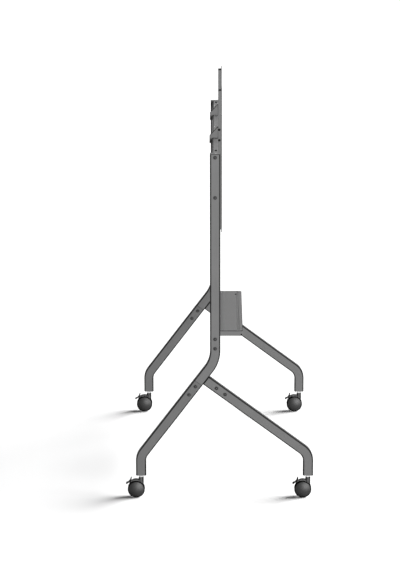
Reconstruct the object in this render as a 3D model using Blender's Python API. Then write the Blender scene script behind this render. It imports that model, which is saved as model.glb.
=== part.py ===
"""Mobile display stand: two bent-tube side frames on casters, cross bars, hanging rails and a tray.

Metres, +Z up, +X towards the display, +Y to the left of someone facing the same way.
The floor is Z = 0 and the origin lies under the middle of the whole stand.
"""

import bmesh
import bpy
from math import asin, atan2, ceil, cos, pi, radians, sin, sqrt, tan
from mathutils import Matrix, Vector

# Fits
SEAT_GAP = 0.0003            # between two pieces that touch
RUNNING_GAP = 0.0003         # round a shaft in its bore
SIDE_PLAY = 0.0008           # beside a wheel

# Side frames
FRAME_SPACING = 1.252        # middle of one side frame to the middle of the other
TUBE_WIDTH = 0.045           # front to back on the upright
TUBE_DEPTH = 0.030           # across the stand
TUBE_WALL = 0.002
TUBE_CORNER = 0.008          # outside radius of the section's corners
UPRIGHT_TOP = 1.544          # top of the cap
KNEE_HEIGHT = 0.626          # where the upright's line meets the rear leg's line
KNEE_RADIUS = 0.140          # of the bend's middle line
RAKE = radians(36.87)        # rear leg from vertical; the front leg is square to it
JOINT_DROP = 0.0944          # knee corner to the front leg's line, down the rear leg
REAR_REACH = 0.3257          # upright to rear foot
FRONT_REACH = 0.4078         # upright to front foot
FOOT_RADIUS = 0.065          # of the bends above the feet
SEAM_BELOW_JOINT = 0.006     # rear leg's seam under the front leg
JOINER_WALL = 0.003
JOINER_IN_UPRIGHT = 0.040
JOINER_IN_LEG = 0.094
STUB_LENGTH = 0.125          # of the front leg's stub outside the upright

# Caps and plugs
CAP_THICKNESS = 0.003
CAP_SKIRT = 0.012
CAP_ROUNDING = 0.001
PLUG_HEIGHT = 0.028

# Casters
WHEEL_RADIUS = 0.0375
TREAD_WIDTH = 0.0060
TREAD_ROUNDING = 0.0016
WHEEL_DOME = 0.0110          # how far the outer face bulges
CASTER_TRAIL = 0.022         # wheel centre behind the swivel axis
AXLE_RADIUS = 0.003
AXLE_IN_WHEEL = 0.0115
HOOD_WEB = 0.012             # thickness of the middle web
HOOD_HALF_WIDTH = 0.0085
HOOD_THICKNESS = 0.0058
HOOD_WHEEL_GAP = 0.002
HOOD_FRONT = radians(58)     # where the arch starts, up from the front
HOOD_REAR = radians(109)     # where it narrows to the web
HOOD_TOP = 0.0922
WEB_FRONT = radians(46)      # where the web meets the arch
WEB_REAR = radians(104)
BOSS_REAR = radians(150)     # where the web's back edge leaves the boss
AXLE_BOSS = 0.011
SOCKET_RADIUS = 0.011
STEM_PIN_RADIUS = 0.004
STEM_PIN_LENGTH = 0.032
STEM_ROD_RADIUS = 0.005
STEM_ROD_LENGTH = 0.025
STEM_CHAMFER = 0.0008
COLLAR_FLATS = 0.015         # hexagon, across its flats
COLLAR_HEIGHT = 0.009

# Brake pedals
PEDAL_PIVOT_RADIUS = 0.0440  # from the wheel's centre
PEDAL_PIVOT_ANGLE = radians(128.6)
PEDAL_HALF_WIDTH = 0.0090    # it straddles the web
PEDAL_LUG = 0.0055           # radius of the web's end, which carries the pedal
PEDAL_RELIEF = 0.0066        # radius of the room for it in the pedal
PEDAL_HUB = 0.0042
PEDAL_PIN_RADIUS = 0.002
PEDAL_PIN_END = 0.0025       # where its pins end, from the middle
PEDAL_THROW = radians(12)
PEDAL_WING_ANGLE = radians(208.2)
PEDAL_WING_LENGTH = 0.0205
PEDAL_WING_THICKNESS = 0.0032
PEDAL_PAD_LENGTH = 0.0075
PEDAL_PAD_THICKNESS = 0.0040
PEDAL_PAD_HALF_WIDTH = 0.0105
PEDAL_TAB_ANGLE = radians(71.7)
PEDAL_TAB_LENGTH = 0.0190
PEDAL_TAB_THICKNESS = 0.0044

# Cross bars
BAR_DEPTH = 0.025
BAR_WALL = 0.002
BAR_CORNER = 0.005
BAR_HEIGHT = 0.030           # of the top and middle bars
TOP_BAR_DROP = 0.001         # under the top of the upright caps
MIDDLE_BAR_BELOW = 0.175     # middle bar under the top bar, centre to centre
LOWER_BAR_HEIGHT = 0.080
LOWER_BAR_CENTRE = 0.7043
END_BLOCK_LENGTH = 0.030

# Display rails
RAIL_SPACING = 0.541
RAIL_WIDTH = 0.035
RAIL_DEPTH = 0.0165
RAIL_SHEET = 0.002
RAIL_BEND = 0.003            # outside radius of the folds
RAIL_ABOVE_BAR = 0.224
RAIL_LENGTH = 0.649
RAIL_FLANGE_INSET = 0.015    # flanges end this far short of the front plate
RAIL_PLUG_LIP = 0.0022
RAIL_PLUG_DEPTH = 0.0080      # how far it goes in between the flanges
RAIL_PLUG_ROUNDING = 0.0020
SLOT_WIDTH = 0.0085
SLOT_LENGTH = 0.150
SLOT_MARGIN = 0.030          # plate's end to the first slot
SLOTS_BELOW_HOOK = 2
SLOT_PITCH = 0.178

# Hooks on the rails
HOOK_SHEET = 0.003
HOOK_TOP = 0.045             # above the bar
HOOK_FLAT_BEHIND_RAIL = 0.004
HOOK_LEG = 0.0124            # behind the bar, front to back
HOOK_SHOULDER = 0.0060       # where the slope meets the leg, above the bar
HOOK_LEG_DROP = 0.023        # leg's end, under the bar's top
HOOK_TONGUE_DROP = 0.030     # tongue inside the rail, under the bar's top
HOOK_ROUNDING = 0.005
LOCK_SCREW_RADIUS = 0.003
LOCK_SCREW_CHAMFER = 0.0008
LOCK_SCREW_SUNK = 0.0005     # behind the hook's back
LOCK_SCREW_HEIGHT = 0.012    # under the bar's top

# Tray
TRAY_LENGTH = 0.696
TRAY_REACH = 0.110           # front to back
TRAY_HEIGHT = 0.024
TRAY_TOP = 0.682
TRAY_SHEET = 0.002
TRAY_CORNER = 0.006          # upright corners
TRAY_EDGE = 0.0025           # top edge's rounding
GROOVE_FROM_FRONT = 0.0205
GROOVE_WIDTH = 0.008
GROOVE_DEPTH = 0.002
GROOVE_END_MARGIN = 0.014
BRACKET_SPACING = 0.440
BRACKET_WIDTH = 0.040
BRACKET_SHEET = 0.003
BRACKET_ARM = 0.070

# Facets
CORNER_STEPS = 3
KNEE_STEPS = 8
FOOT_STEPS = 6
WHEEL_STEPS = 24
ROUND_STEPS = 14
SMALL_STEPS = 12
DOME_STEPS = 4
ARCH_STEP = radians(12)
SHARP_ANGLE = radians(35)    # edges over this stay crisp

SIDES = {"left": 1, "right": -1}
ENDS = {"front": FRONT_REACH, "rear": -REAR_REACH}

# Places that follow from the sizes above
REARWARD = Vector((-sin(RAKE), 0, -cos(RAKE)))
FORWARD = Vector((cos(RAKE), 0, -sin(RAKE)))
KNEE = Vector((0, 0, KNEE_HEIGHT))
JOINT = KNEE + REARWARD * JOINT_DROP
SEAM = JOINT + REARWARD * (TUBE_WIDTH / 2 + SEAM_BELOW_JOINT)
REAR_CORNER = KNEE + REARWARD * (REAR_REACH / sin(RAKE))
FRONT_CORNER = JOINT + FORWARD * ((FRONT_REACH - JOINT.x) / cos(RAKE))

WHEEL_INNER_FACE = HOOD_WEB / 2 + SIDE_PLAY
HOOD_INNER = WHEEL_RADIUS + HOOD_WHEEL_GAP
HOOD_OUTER = HOOD_INNER + HOOD_THICKNESS
COLLAR_BOTTOM = HOOD_TOP + SEAT_GAP
FOOT_BOTTOM = COLLAR_BOTTOM + COLLAR_HEIGHT + SEAT_GAP
STEM_BOTTOM = COLLAR_BOTTOM - STEM_PIN_LENGTH
PIVOT_X = PEDAL_PIVOT_RADIUS * cos(PEDAL_PIVOT_ANGLE) - CASTER_TRAIL
PIVOT_Z = PEDAL_PIVOT_RADIUS * sin(PEDAL_PIVOT_ANGLE) + WHEEL_RADIUS

BAR_TOP = UPRIGHT_TOP - TOP_BAR_DROP
BAR_LENGTH = FRAME_SPACING - TUBE_DEPTH - 2 * SEAT_GAP
BAR_FRONT = BAR_DEPTH / 2
RAIL_BACK = BAR_FRONT + SEAT_GAP
RAIL_FRONT = RAIL_BACK + RAIL_DEPTH
RAIL_TOP = BAR_TOP + RAIL_ABOVE_BAR
RAIL_BOTTOM = RAIL_TOP - RAIL_LENGTH

# The stand's origin is half way between its foremost and rearmost points.
PEDAL_NOSE = PEDAL_PAD_THICKNESS / 2
PEDAL_TIP = PIVOT_X + (PEDAL_WING_LENGTH - PEDAL_NOSE) * cos(PEDAL_WING_ANGLE) - PEDAL_NOSE
FOREMOST = FRONT_REACH + TUBE_WIDTH / 2
REARMOST = PEDAL_TIP - REAR_REACH
UPRIGHT_X = -(FOREMOST + REARMOST) / 2


# Scene, materials and objects

def clear_scene():
    """Start from an empty scene."""
    for item in list(bpy.data.objects):
        bpy.data.objects.remove(item, do_unlink=True)


def finish(name, colour, roughness, metallic):
    """A plain surface finish."""
    surface = bpy.data.materials.new(name)
    surface.use_nodes = True
    shader = surface.node_tree.nodes["Principled BSDF"]
    shader.inputs["Base Color"].default_value = (*colour, 1)
    shader.inputs["Roughness"].default_value = roughness
    shader.inputs["Metallic"].default_value = metallic
    surface.diffuse_color = (*colour, 1)
    return surface


def marker(name, place, parent=None):
    """An empty that carries the pieces of one side, caster or rail."""
    empty = bpy.data.objects.new(name, None)
    empty.empty_display_size = 0.03
    empty.location = place
    empty.parent = parent
    bpy.context.scene.collection.objects.link(empty)
    return empty


def piece(name, mesh, surface, parent, place=(0, 0, 0), turn=0.0):
    """One named piece, turned about the vertical if need be."""
    item = bpy.data.objects.new(name, mesh)
    if not mesh.materials:
        mesh.materials.append(surface)
    item.location = place
    item.rotation_euler = (0, 0, turn)
    item.parent = parent
    bpy.context.scene.collection.objects.link(item)
    return item


# Outlines

def rounded(corners, radii, steps=CORNER_STEPS):
    """A closed outline through the corners, each turned by an arc of its radius."""
    outline = []
    count = len(corners)
    for index, (corner, radius) in enumerate(zip(corners, radii)):
        here = Vector(corner)
        if radius <= 0:
            outline.append(here)
            continue
        back = (Vector(corners[index - 1]) - here).normalized()
        ahead = (Vector(corners[(index + 1) % count]) - here).normalized()
        half = back.angle(ahead) / 2
        centre = here + (back + ahead).normalized() * (radius / sin(half))
        start = here + back * (radius / tan(half)) - centre
        end = here + ahead * (radius / tan(half)) - centre
        sweep = atan2(start.x * end.y - start.y * end.x, start.dot(end))
        for step in range(steps + 1):
            outline.append(centre + Matrix.Rotation(sweep * step / steps, 2) @ start)
    return outline


def rectangle(width, height, radius):
    """A rectangle round the middle, with rounded corners."""
    x, y = width / 2, height / 2
    return rounded([(x, y), (-x, y), (-x, -y), (x, -y)], [radius] * 4)


def arc(radius, start, end, centre=(0, 0), step=ARCH_STEP):
    """Points along an arc, both ends included."""
    count = max(2, ceil(abs(end - start) / step - 1e-6))
    angles = [start + (end - start) * index / count for index in range(count + 1)]
    return [Vector((centre[0] + radius * cos(a), centre[1] + radius * sin(a))) for a in angles]


def polar(radius, angle):
    """A point at a distance and an angle from the middle."""
    return Vector((radius * cos(angle), radius * sin(angle)))


def nose(angle, length, thickness):
    """The half round that ends a flat arm."""
    tip = polar(length - thickness / 2, angle)
    return arc(thickness / 2, angle - pi / 2, angle + pi / 2, tip, pi / 4)


def hub_with_arms(hub, arms):
    """The outline of a round hub with flat arms, each of an angle, a length and a thickness."""
    outline = []
    for index, (angle, length, thickness) in enumerate(arms):
        following, _, next_thickness = arms[(index + 1) % len(arms)]
        if following <= angle:
            following += 2 * pi
        leave = angle + asin(thickness / 2 / hub)
        arrive = following - asin(next_thickness / 2 / hub)
        outline += nose(angle, length, thickness) + arc(hub, leave, arrive, step=pi / 5)
    return outline


# Solids

def to_mesh(name, bm, smooth=True):
    """Turn the edited geometry into a mesh with its faces outwards."""
    bmesh.ops.recalc_face_normals(bm, faces=bm.faces)
    mesh = bpy.data.meshes.new(name)
    bm.to_mesh(mesh)
    bm.free()
    if smooth:
        mesh.shade_smooth()
        mesh.set_sharp_from_angle(angle=SHARP_ANGLE)
    return mesh


def along_y(point, distance):
    return Vector((point[0], distance, point[1]))


def along_z(point, distance):
    return Vector((point[0], point[1], distance))


def prism(name, outline, start, end, lift=along_y):
    """A solid of constant section between two distances along an axis."""
    bm = bmesh.new()
    base = bm.faces.new([bm.verts.new(lift(point, start)) for point in outline])
    grown = bmesh.ops.extrude_face_region(bm, geom=[base])["geom"]
    raised = [item for item in grown if isinstance(item, bmesh.types.BMVert)]
    bmesh.ops.translate(bm, verts=raised, vec=lift((0, 0), end - start))
    return to_mesh(name, bm)


def turned(name, profile, steps):
    """A solid of revolution about Z from a closed profile of radius and height."""
    bm = bmesh.new()
    verts = [bm.verts.new((radius, 0, height)) for radius, height in profile]
    edges = [bm.edges.new((a, b)) for a, b in zip(verts, verts[1:])]
    if profile[0][0] > 0:
        edges.append(bm.edges.new((verts[-1], verts[0])))
    bmesh.ops.spin(bm, geom=verts + edges, cent=(0, 0, 0), axis=(0, 0, 1),
                   angle=2 * pi, steps=steps, use_merge=True)
    bmesh.ops.remove_doubles(bm, verts=bm.verts, dist=1e-6)
    return to_mesh(name, bm)


def loft(name, frames, outer, inner):
    """A tube: its outer and inner outlines carried along the frames and joined at the ends."""
    bm = bmesh.new()
    walls = [[[bm.verts.new(frame @ Vector((u, v, 0))) for u, v in outline] for frame in frames]
             for outline in (outer, inner)]
    pairs = [pair for rings in walls for pair in zip(rings, rings[1:])]
    pairs += [(walls[0][0], walls[1][0]), (walls[0][-1], walls[1][-1])]
    for near, far in pairs:
        for index in range(len(near)):
            bm.faces.new((near[index - 1], near[index], far[index], far[index - 1]))
    return to_mesh(name, bm)


def shaped(mesh, *steps):
    """Join tools to a solid, or cut them from it, in order, and give the result as a mesh."""
    body = bpy.data.objects.new(mesh.name, mesh)
    bpy.context.scene.collection.objects.link(body)
    tools = []
    for operation, tool_mesh in steps:
        tool = bpy.data.objects.new(tool_mesh.name, tool_mesh)
        tool.hide_render = True
        tool.display_type = "WIRE"
        bpy.context.scene.collection.objects.link(tool)
        tools.append(tool)
        change = body.modifiers.new(tool_mesh.name, "BOOLEAN")
        change.operation = operation
        change.solver = "EXACT"
        change.object = tool
    evaluated = body.evaluated_get(bpy.context.evaluated_depsgraph_get())
    result = bpy.data.meshes.new_from_object(evaluated)
    result.name = mesh.name
    for item in [body, *tools]:
        bpy.data.objects.remove(item, do_unlink=True)
    result.materials.clear()
    result.shade_smooth()
    result.set_sharp_from_angle(angle=SHARP_ANGLE)
    return result


def moved(mesh, matrix):
    """Place a mesh and give it back."""
    mesh.transform(matrix)
    return mesh


def disc(name, radius, start, end, centre=(0, 0), steps=ROUND_STEPS, lift=along_y):
    """A round bar along an axis."""
    ring = [Vector((centre[0] + radius * cos(2 * pi * step / steps),
                    centre[1] + radius * sin(2 * pi * step / steps))) for step in range(steps)]
    return prism(name, ring, start, end, lift)


def block(name, low, high):
    """A box between two corners."""
    outline = [(low[0], low[1]), (high[0], low[1]), (high[0], high[1]), (low[0], high[1])]
    return prism(name, outline, low[2], high[2], along_z)


# Bent tubes of the side frames

def tube_frame(place, direction):
    """A frame whose section lies across the tube, with its second axis across the stand."""
    across = Vector((0, 1, 0))
    front = across.cross(direction)
    turn = Matrix((front, across, direction)).transposed().to_4x4()
    return Matrix.Translation(place) @ turn


def bent_path(start, corner, end, radius, steps):
    """Frames along two straight runs joined by a bend."""
    coming = (corner - start).normalized()
    going = (end - corner).normalized()
    turn = coming.angle(going)
    setback = radius * tan(turn / 2)
    side = going - coming * going.dot(coming)
    centre = corner - coming * setback + side.normalized() * radius
    axis = coming.cross(going).normalized()
    frames = [tube_frame(start, coming)]
    for step in range(steps + 1):
        swing = Matrix.Rotation(turn * step / steps, 3, axis)
        place = centre + swing @ (corner - coming * setback - centre)
        frames.append(tube_frame(place, swing @ coming))
    frames.append(tube_frame(end, going))
    return frames


def bore_outline(gap=0.0):
    """Inside outline of the frame tube, or of what slides into it."""
    return rectangle(TUBE_WIDTH - 2 * TUBE_WALL - 2 * gap, TUBE_DEPTH - 2 * TUBE_WALL - 2 * gap,
                     TUBE_CORNER - TUBE_WALL - gap)


def joiner_outline():
    """Inside outline of a joiner."""
    inset = TUBE_WALL + SEAT_GAP + JOINER_WALL
    return rectangle(TUBE_WIDTH - 2 * inset, TUBE_DEPTH - 2 * inset, TUBE_CORNER - inset)


def upright_mesh():
    """Upright with its knee, and the stub that carries the front leg."""
    top = Vector((0, 0, UPRIGHT_TOP - CAP_THICKNESS - SEAT_GAP))
    section = rectangle(TUBE_WIDTH, TUBE_DEPTH, TUBE_CORNER)
    tube = loft("upright", bent_path(top, KNEE, SEAM, KNEE_RADIUS, KNEE_STEPS), section,
                bore_outline())
    root = JOINT + FORWARD * (TUBE_WIDTH / 2 - TUBE_WALL / 2)
    tip = JOINT + FORWARD * (TUBE_WIDTH / 2 + STUB_LENGTH)
    stub = loft("front_leg_stub", [tube_frame(root, FORWARD), tube_frame(tip, FORWARD)],
                bore_outline(SEAT_GAP), joiner_outline())
    return shaped(tube, ("UNION", stub))


def rear_joiner_mesh():
    """Sleeve inside the seam between the upright and the rear leg."""
    start = SEAM - REARWARD * JOINER_IN_UPRIGHT
    end = SEAM + REARWARD * JOINER_IN_LEG
    return loft("rear_joiner", [tube_frame(start, REARWARD), tube_frame(end, REARWARD)],
                bore_outline(SEAT_GAP), joiner_outline())


def leg_mesh(name, start, corner):
    """A leg from its seam down to its foot, which stands upright."""
    foot = Vector((corner.x, 0, FOOT_BOTTOM))
    return loft(name, bent_path(start, corner, foot, FOOT_RADIUS, FOOT_STEPS),
                rectangle(TUBE_WIDTH, TUBE_DEPTH, TUBE_CORNER), bore_outline())


def cap_mesh():
    """Cap on the upright: a rounded lid with a plug that enters the tube."""
    bm = bmesh.new()
    base = bm.faces.new([bm.verts.new(along_z(point, UPRIGHT_TOP - CAP_THICKNESS))
                         for point in rectangle(TUBE_WIDTH, TUBE_DEPTH, TUBE_CORNER)])
    grown = bmesh.ops.extrude_face_region(bm, geom=[base])["geom"]
    lid = [item for item in grown if isinstance(item, bmesh.types.BMVert)]
    bmesh.ops.translate(bm, verts=lid, vec=(0, 0, CAP_THICKNESS))
    rim = [edge for edge in bm.edges if all(vert in lid for vert in edge.verts)]
    bmesh.ops.bevel(bm, geom=rim, offset=CAP_ROUNDING, segments=2, profile=0.5, affect="EDGES")
    plug = prism("cap_plug", bore_outline(SEAT_GAP), UPRIGHT_TOP - CAP_THICKNESS - CAP_SKIRT,
                 UPRIGHT_TOP - CAP_THICKNESS / 2, along_z)
    return shaped(to_mesh("upright_cap", bm), ("UNION", plug))


def foot_plug_mesh():
    """Plug in the end of a leg, bored for the caster's stem."""
    plug = prism("foot_plug", bore_outline(SEAT_GAP), FOOT_BOTTOM, FOOT_BOTTOM + PLUG_HEIGHT,
                 along_z)
    bore = disc("stem_bore", STEM_ROD_RADIUS + RUNNING_GAP, FOOT_BOTTOM - CAP_SKIRT,
                FOOT_BOTTOM + PLUG_HEIGHT + CAP_SKIRT, lift=along_z)
    return shaped(plug, ("DIFFERENCE", bore))


# Casters, modelled round their swivel axis

def stem_mesh():
    """Stem: a plain pin below, a hexagon collar, and the rod that enters the foot."""
    chamfer = STEM_CHAMFER
    top = FOOT_BOTTOM - SEAT_GAP + STEM_ROD_LENGTH
    middle = COLLAR_BOTTOM + COLLAR_HEIGHT / 2
    spindle = turned("caster_stem", [
        (0, STEM_BOTTOM), (STEM_PIN_RADIUS - chamfer, STEM_BOTTOM),
        (STEM_PIN_RADIUS, STEM_BOTTOM + chamfer), (STEM_PIN_RADIUS, middle),
        (STEM_ROD_RADIUS, middle), (STEM_ROD_RADIUS, top - chamfer),
        (STEM_ROD_RADIUS - chamfer, top), (0, top)], ROUND_STEPS)
    collar = disc("collar", COLLAR_FLATS / 2 / cos(pi / 6), COLLAR_BOTTOM,
                  COLLAR_BOTTOM + COLLAR_HEIGHT, steps=6, lift=along_z)
    return shaped(spindle, ("UNION", collar))


def hood_mesh():
    """Hood of a twin-wheel caster: arch, swivel socket and the web that holds the axle."""
    centre = (-CASTER_TRAIL, WHEEL_RADIUS)
    half = HOOD_HALF_WIDTH
    arch, tail = [prism("arch", arc(HOOD_OUTER, HOOD_FRONT, rear, centre)
                        + arc(HOOD_INNER, rear, HOOD_FRONT, centre), -wide, wide)
                  for wide, rear in ((half, HOOD_REAR), (HOOD_WEB / 2, PEDAL_PIVOT_ANGLE))]
    lug = disc("lug", PEDAL_LUG, -HOOD_WEB / 2, HOOD_WEB / 2, (PIVOT_X, PIVOT_Z))
    socket = disc("caster_hood", SOCKET_RADIUS, WHEEL_RADIUS + AXLE_BOSS, HOOD_TOP, lift=along_z)
    room = [disc("wheel_room", HOOD_INNER, side * (HOOD_WEB / 2 + SIDE_PLAY / 2),
                 side * 2 * SOCKET_RADIUS, centre, steps=WHEEL_STEPS) for side in (1, -1)]
    reach = HOOD_INNER + HOOD_THICKNESS / 2
    web_outline = (arc(reach, WEB_FRONT, WEB_REAR, centre)
                   + arc(AXLE_BOSS, BOSS_REAR, 2 * pi, centre, pi / 6))
    web = prism("web", web_outline, -HOOD_WEB / 2, HOOD_WEB / 2)
    stem_bore = disc("stem_bore", STEM_PIN_RADIUS + RUNNING_GAP, STEM_BOTTOM - 2 * SEAT_GAP,
                     HOOD_TOP + SOCKET_RADIUS, lift=along_z)
    axle_bore = disc("axle_bore", AXLE_RADIUS + RUNNING_GAP, -half, half, centre)
    pins = [disc("pin_bore", PEDAL_PIN_RADIUS + RUNNING_GAP, side * (PEDAL_PIN_END - SEAT_GAP),
                 side * HOOD_WEB, (PIVOT_X, PIVOT_Z), steps=SMALL_STEPS) for side in (1, -1)]
    return shaped(socket, ("DIFFERENCE", room[0]), ("DIFFERENCE", room[1]), ("UNION", arch),
                  ("UNION", tail), ("UNION", lug), ("UNION", web), ("DIFFERENCE", stem_bore),
                  ("DIFFERENCE", axle_bore), ("DIFFERENCE", pins[0]), ("DIFFERENCE", pins[1]))


def axle_mesh():
    """Steel axle, which ends inside both wheels."""
    half = WHEEL_INNER_FACE + AXLE_IN_WHEEL - SIDE_PLAY
    return disc("caster_axle", AXLE_RADIUS, -half, half)


def wheel_mesh():
    """One wheel: rounded tread, domed outer face and a blind bore in its inner face."""
    bore = AXLE_RADIUS + RUNNING_GAP
    rounding = TREAD_ROUNDING
    shoulder = WHEEL_RADIUS - 2 * rounding
    dome_radius = (shoulder ** 2 + (WHEEL_DOME - rounding) ** 2) / (2 * (WHEEL_DOME - rounding))
    face = TREAD_WIDTH + WHEEL_DOME
    profile = [(0, AXLE_IN_WHEEL), (bore, AXLE_IN_WHEEL), (bore, 0),
               (WHEEL_RADIUS - rounding, 0), (WHEEL_RADIUS, rounding), (WHEEL_RADIUS, TREAD_WIDTH)]
    for step in range(DOME_STEPS):
        radius = shoulder * (1 - step / DOME_STEPS)
        sink = dome_radius - sqrt(dome_radius ** 2 - radius ** 2)
        profile.append((radius, face - sink))
    profile.append((0, face))
    wheel = turned("caster_wheel", profile, WHEEL_STEPS)
    return moved(wheel, Matrix.Rotation(-pi / 2, 4, "X"))


def pedal_mesh():
    """Brake pedal, modelled round its pivot: cheeks either side of the web, joined by the wing."""
    half = PEDAL_HALF_WIDTH
    cam_reach = PEDAL_PIVOT_RADIUS - WHEEL_RADIUS - SEAT_GAP
    pad_root = PEDAL_WING_LENGTH - PEDAL_PAD_LENGTH
    body = prism("brake_pedal", hub_with_arms(PEDAL_HUB, [
        (PEDAL_TAB_ANGLE, PEDAL_TAB_LENGTH, PEDAL_TAB_THICKNESS),
        (PEDAL_WING_ANGLE, pad_root + PEDAL_PAD_LENGTH / 2, PEDAL_WING_THICKNESS),
        (PEDAL_PIVOT_ANGLE + pi - PEDAL_THROW, cam_reach, PEDAL_HUB)]), -half, half)
    across = polar(PEDAL_PAD_THICKNESS / 2, PEDAL_WING_ANGLE + pi / 2)
    root = polar(pad_root, PEDAL_WING_ANGLE)
    pad = prism("pad", [root - across, *nose(PEDAL_WING_ANGLE, PEDAL_WING_LENGTH,
                                             PEDAL_PAD_THICKNESS), root + across],
                -PEDAL_PAD_HALF_WIDTH, PEDAL_PAD_HALF_WIDTH)
    inside = HOOD_WEB / 2 + SEAT_GAP
    relief = disc("web_relief", PEDAL_RELIEF, -inside, inside)
    pins = [disc("pin", PEDAL_PIN_RADIUS, side * PEDAL_PIN_END, side * (inside + half) / 2,
                 steps=SMALL_STEPS) for side in (1, -1)]
    return shaped(body, ("UNION", pad), ("DIFFERENCE", relief), ("UNION", pins[0]),
                  ("UNION", pins[1]))


# Cross bars

def across_frame(distance):
    """A frame across the stand, for a section of depth and height."""
    return Matrix(((1, 0, 0, 0), (0, 0, 1, distance), (0, 1, 0, 0), (0, 0, 0, 1)))


def bar_mesh(name, height):
    """Hollow bar between the uprights, centred on its own height."""
    frames = [across_frame(-BAR_LENGTH / 2), across_frame(BAR_LENGTH / 2)]
    return loft(name, frames, rectangle(BAR_DEPTH, height, BAR_CORNER),
                rectangle(BAR_DEPTH - 2 * BAR_WALL, height - 2 * BAR_WALL, BAR_CORNER - BAR_WALL))


def end_block_mesh(name, height):
    """Block in the end of a bar that the bolts through the upright screw into."""
    inset = BAR_WALL + SEAT_GAP
    outline = rectangle(BAR_DEPTH - 2 * inset, height - 2 * inset, BAR_CORNER - inset)
    return prism(name, outline, -END_BLOCK_LENGTH / 2, END_BLOCK_LENGTH / 2)


# Display rails, modelled round their own middle plane

def rail_mesh():
    """Folded channel, open to the rear, with a front plate longer than its flanges."""
    half, sheet = RAIL_WIDTH / 2, RAIL_SHEET
    corners = [(RAIL_BACK, -half), (RAIL_FRONT, -half), (RAIL_FRONT, half), (RAIL_BACK, half),
               (RAIL_BACK, half - sheet), (RAIL_FRONT - sheet, half - sheet),
               (RAIL_FRONT - sheet, -half + sheet), (RAIL_BACK, -half + sheet)]
    fold = RAIL_BEND
    inner = RAIL_BEND - RAIL_SHEET
    outline = rounded(corners, [0, fold, fold, 0, 0, inner, inner, 0])
    channel = prism("display_rail", outline, RAIL_BOTTOM, RAIL_TOP, along_z)
    cuts = []
    behind = RAIL_FRONT - sheet - inner
    for low, high in ((RAIL_BOTTOM - sheet, RAIL_BOTTOM + RAIL_FLANGE_INSET),
                      (RAIL_TOP - RAIL_FLANGE_INSET, RAIL_TOP + sheet)):
        cuts.append(block("flange_trim", (RAIL_BACK - sheet, -half - sheet, low),
                          (behind, half + sheet, high)))
    for bottom in slot_bottoms():
        cuts.append(moved(slot_cutter(), Matrix.Translation((0, 0, bottom))))
    return shaped(channel, *[("DIFFERENCE", cut) for cut in cuts])


def rail_plug_mesh():
    """End plug of a rail, modelled on the flanges' ends: a lip, and a shank between them."""
    front = RAIL_FRONT - max(RAIL_BEND, RAIL_SHEET) - SEAT_GAP
    half = RAIL_WIDTH / 2
    soft = RAIL_PLUG_ROUNDING
    outline = rounded([(RAIL_BACK, -half), (front, -half), (front, half), (RAIL_BACK, half)],
                      [soft, 0, 0, soft])
    lip = prism("rail_plug", outline, SEAT_GAP, SEAT_GAP + RAIL_PLUG_LIP, along_z)
    inside = half - RAIL_SHEET - SEAT_GAP
    shank = block("shank", (RAIL_BACK + RAIL_SHEET, -inside, -RAIL_PLUG_DEPTH),
                  (front, inside, SEAT_GAP + RAIL_PLUG_LIP / 2))
    return shaped(lip, ("UNION", shank))


def slot_bottoms():
    """Lower ends of the screw slots: a run below the hook and one above it."""
    below = [RAIL_BOTTOM + SLOT_MARGIN + SLOT_PITCH * index for index in range(SLOTS_BELOW_HOOK)]
    return below + [RAIL_TOP - SLOT_MARGIN - SLOT_LENGTH]


def slot_cutter():
    """A slot with round ends, through the front plate."""
    straight = SLOT_LENGTH - SLOT_WIDTH
    outline = (arc(SLOT_WIDTH / 2, 0, pi, (0, straight + SLOT_WIDTH / 2), pi / 6)
               + arc(SLOT_WIDTH / 2, pi, 2 * pi, (0, SLOT_WIDTH / 2), pi / 6))
    cutter = prism("slot", outline, RAIL_FRONT - 2 * RAIL_SHEET, RAIL_FRONT + RAIL_SHEET)
    return moved(cutter, Matrix.Rotation(-pi / 2, 4, "Z"))


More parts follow.
